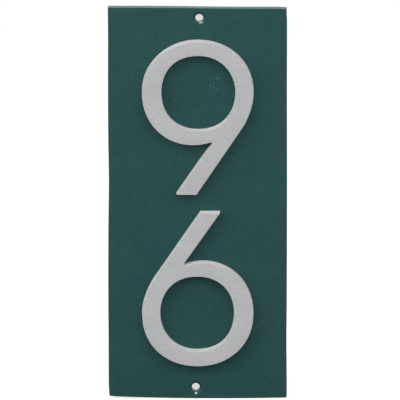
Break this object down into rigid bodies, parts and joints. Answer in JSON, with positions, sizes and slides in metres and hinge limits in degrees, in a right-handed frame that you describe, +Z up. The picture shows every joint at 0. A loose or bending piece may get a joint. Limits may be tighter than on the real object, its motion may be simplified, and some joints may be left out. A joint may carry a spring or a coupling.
{
  "type": "house number plaque",
  "caption": "Tall flat cast plaque with bold raised figures and countersunk screw holes near its short edges, fixed to a wall to show a house number.",
  "frame": {"origin": "middle of the back face, on the wall plane", "axes": "+Z up the plaque, +X to the right as it is read, +Y into the wall, so the figures face -Y"},
  "size_m": [0.1146, 0.0111, 0.2602],
  "materials": {
    "plate_paint": "satin dark green paint over sand-cast aluminium",
    "figure_paint": "satin silver paint on the raised figures"
  },
  "bodies": {
    "root": {"cast_plaque": "plate_paint"}
  },
  "joints": []
}
